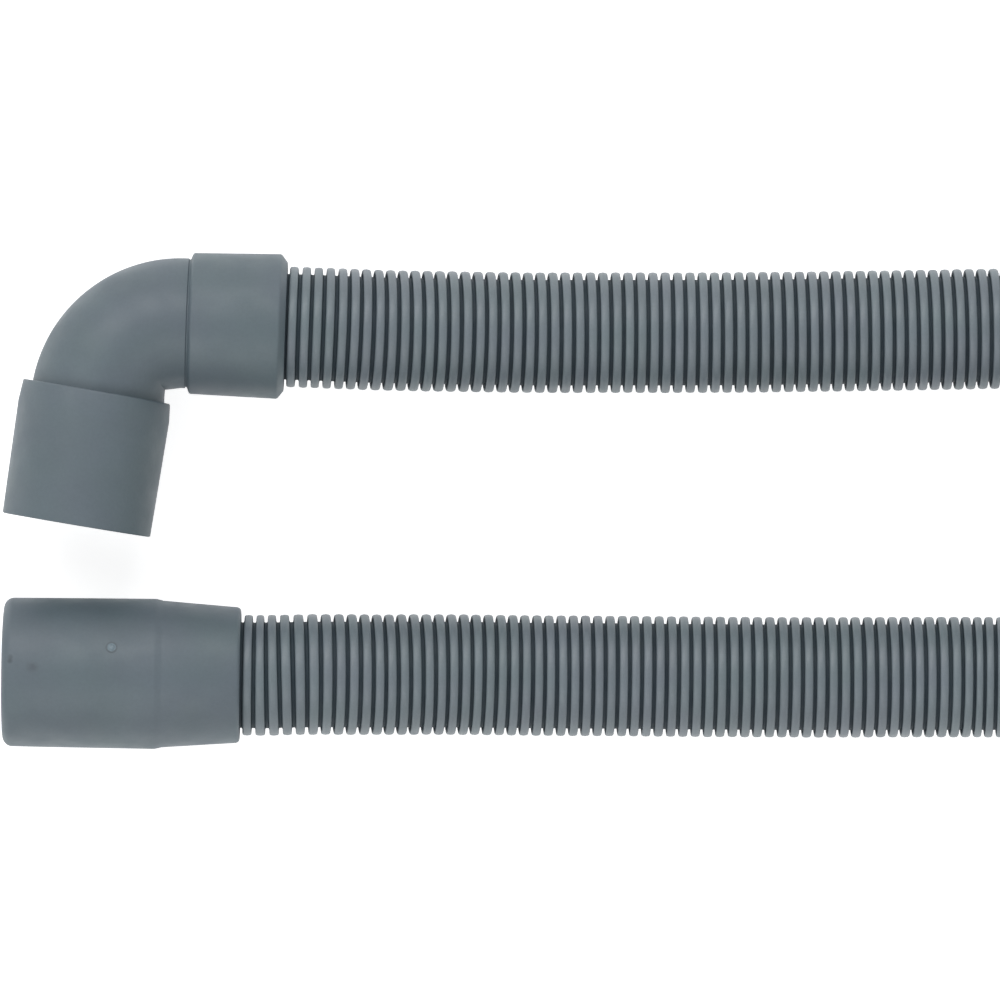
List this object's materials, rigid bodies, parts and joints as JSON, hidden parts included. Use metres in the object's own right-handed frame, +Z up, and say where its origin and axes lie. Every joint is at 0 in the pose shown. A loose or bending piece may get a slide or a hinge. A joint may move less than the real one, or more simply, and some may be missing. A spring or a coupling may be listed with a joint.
{
  "type": "drain hose",
  "caption": "Ribbed plastic washing machine drain hose with a moulded rubber elbow at one end and a straight rubber socket at the other, its spare length tied in a coil.",
  "frame": {"origin": "on the floor, under the middle of the two rubber ends lying side by side", "axes": "+X along the hose away from the rubber ends towards the coil, +Y from the straight end's side to the elbow's side, +Z up from the floor"},
  "size_m": [0.5822, 0.2695, 0.0493],
  "materials": {
    "grey_rubber": "matt moulded grey rubber, faint mottling and handling marks",
    "grey_ribbed_plastic": "satin grey polypropylene, closely ribbed",
    "black_nylon": "black nylon strap"
  },
  "bodies": {
    "root": {"elbow_end": "grey_rubber", "straight_end": "grey_rubber", "hose_elbow_run": "grey_ribbed_plastic", "hose_straight_run": "grey_ribbed_plastic", "hose_coil": "grey_ribbed_plastic", "coil_strap": "black_nylon"}
  },
  "joints": []
}
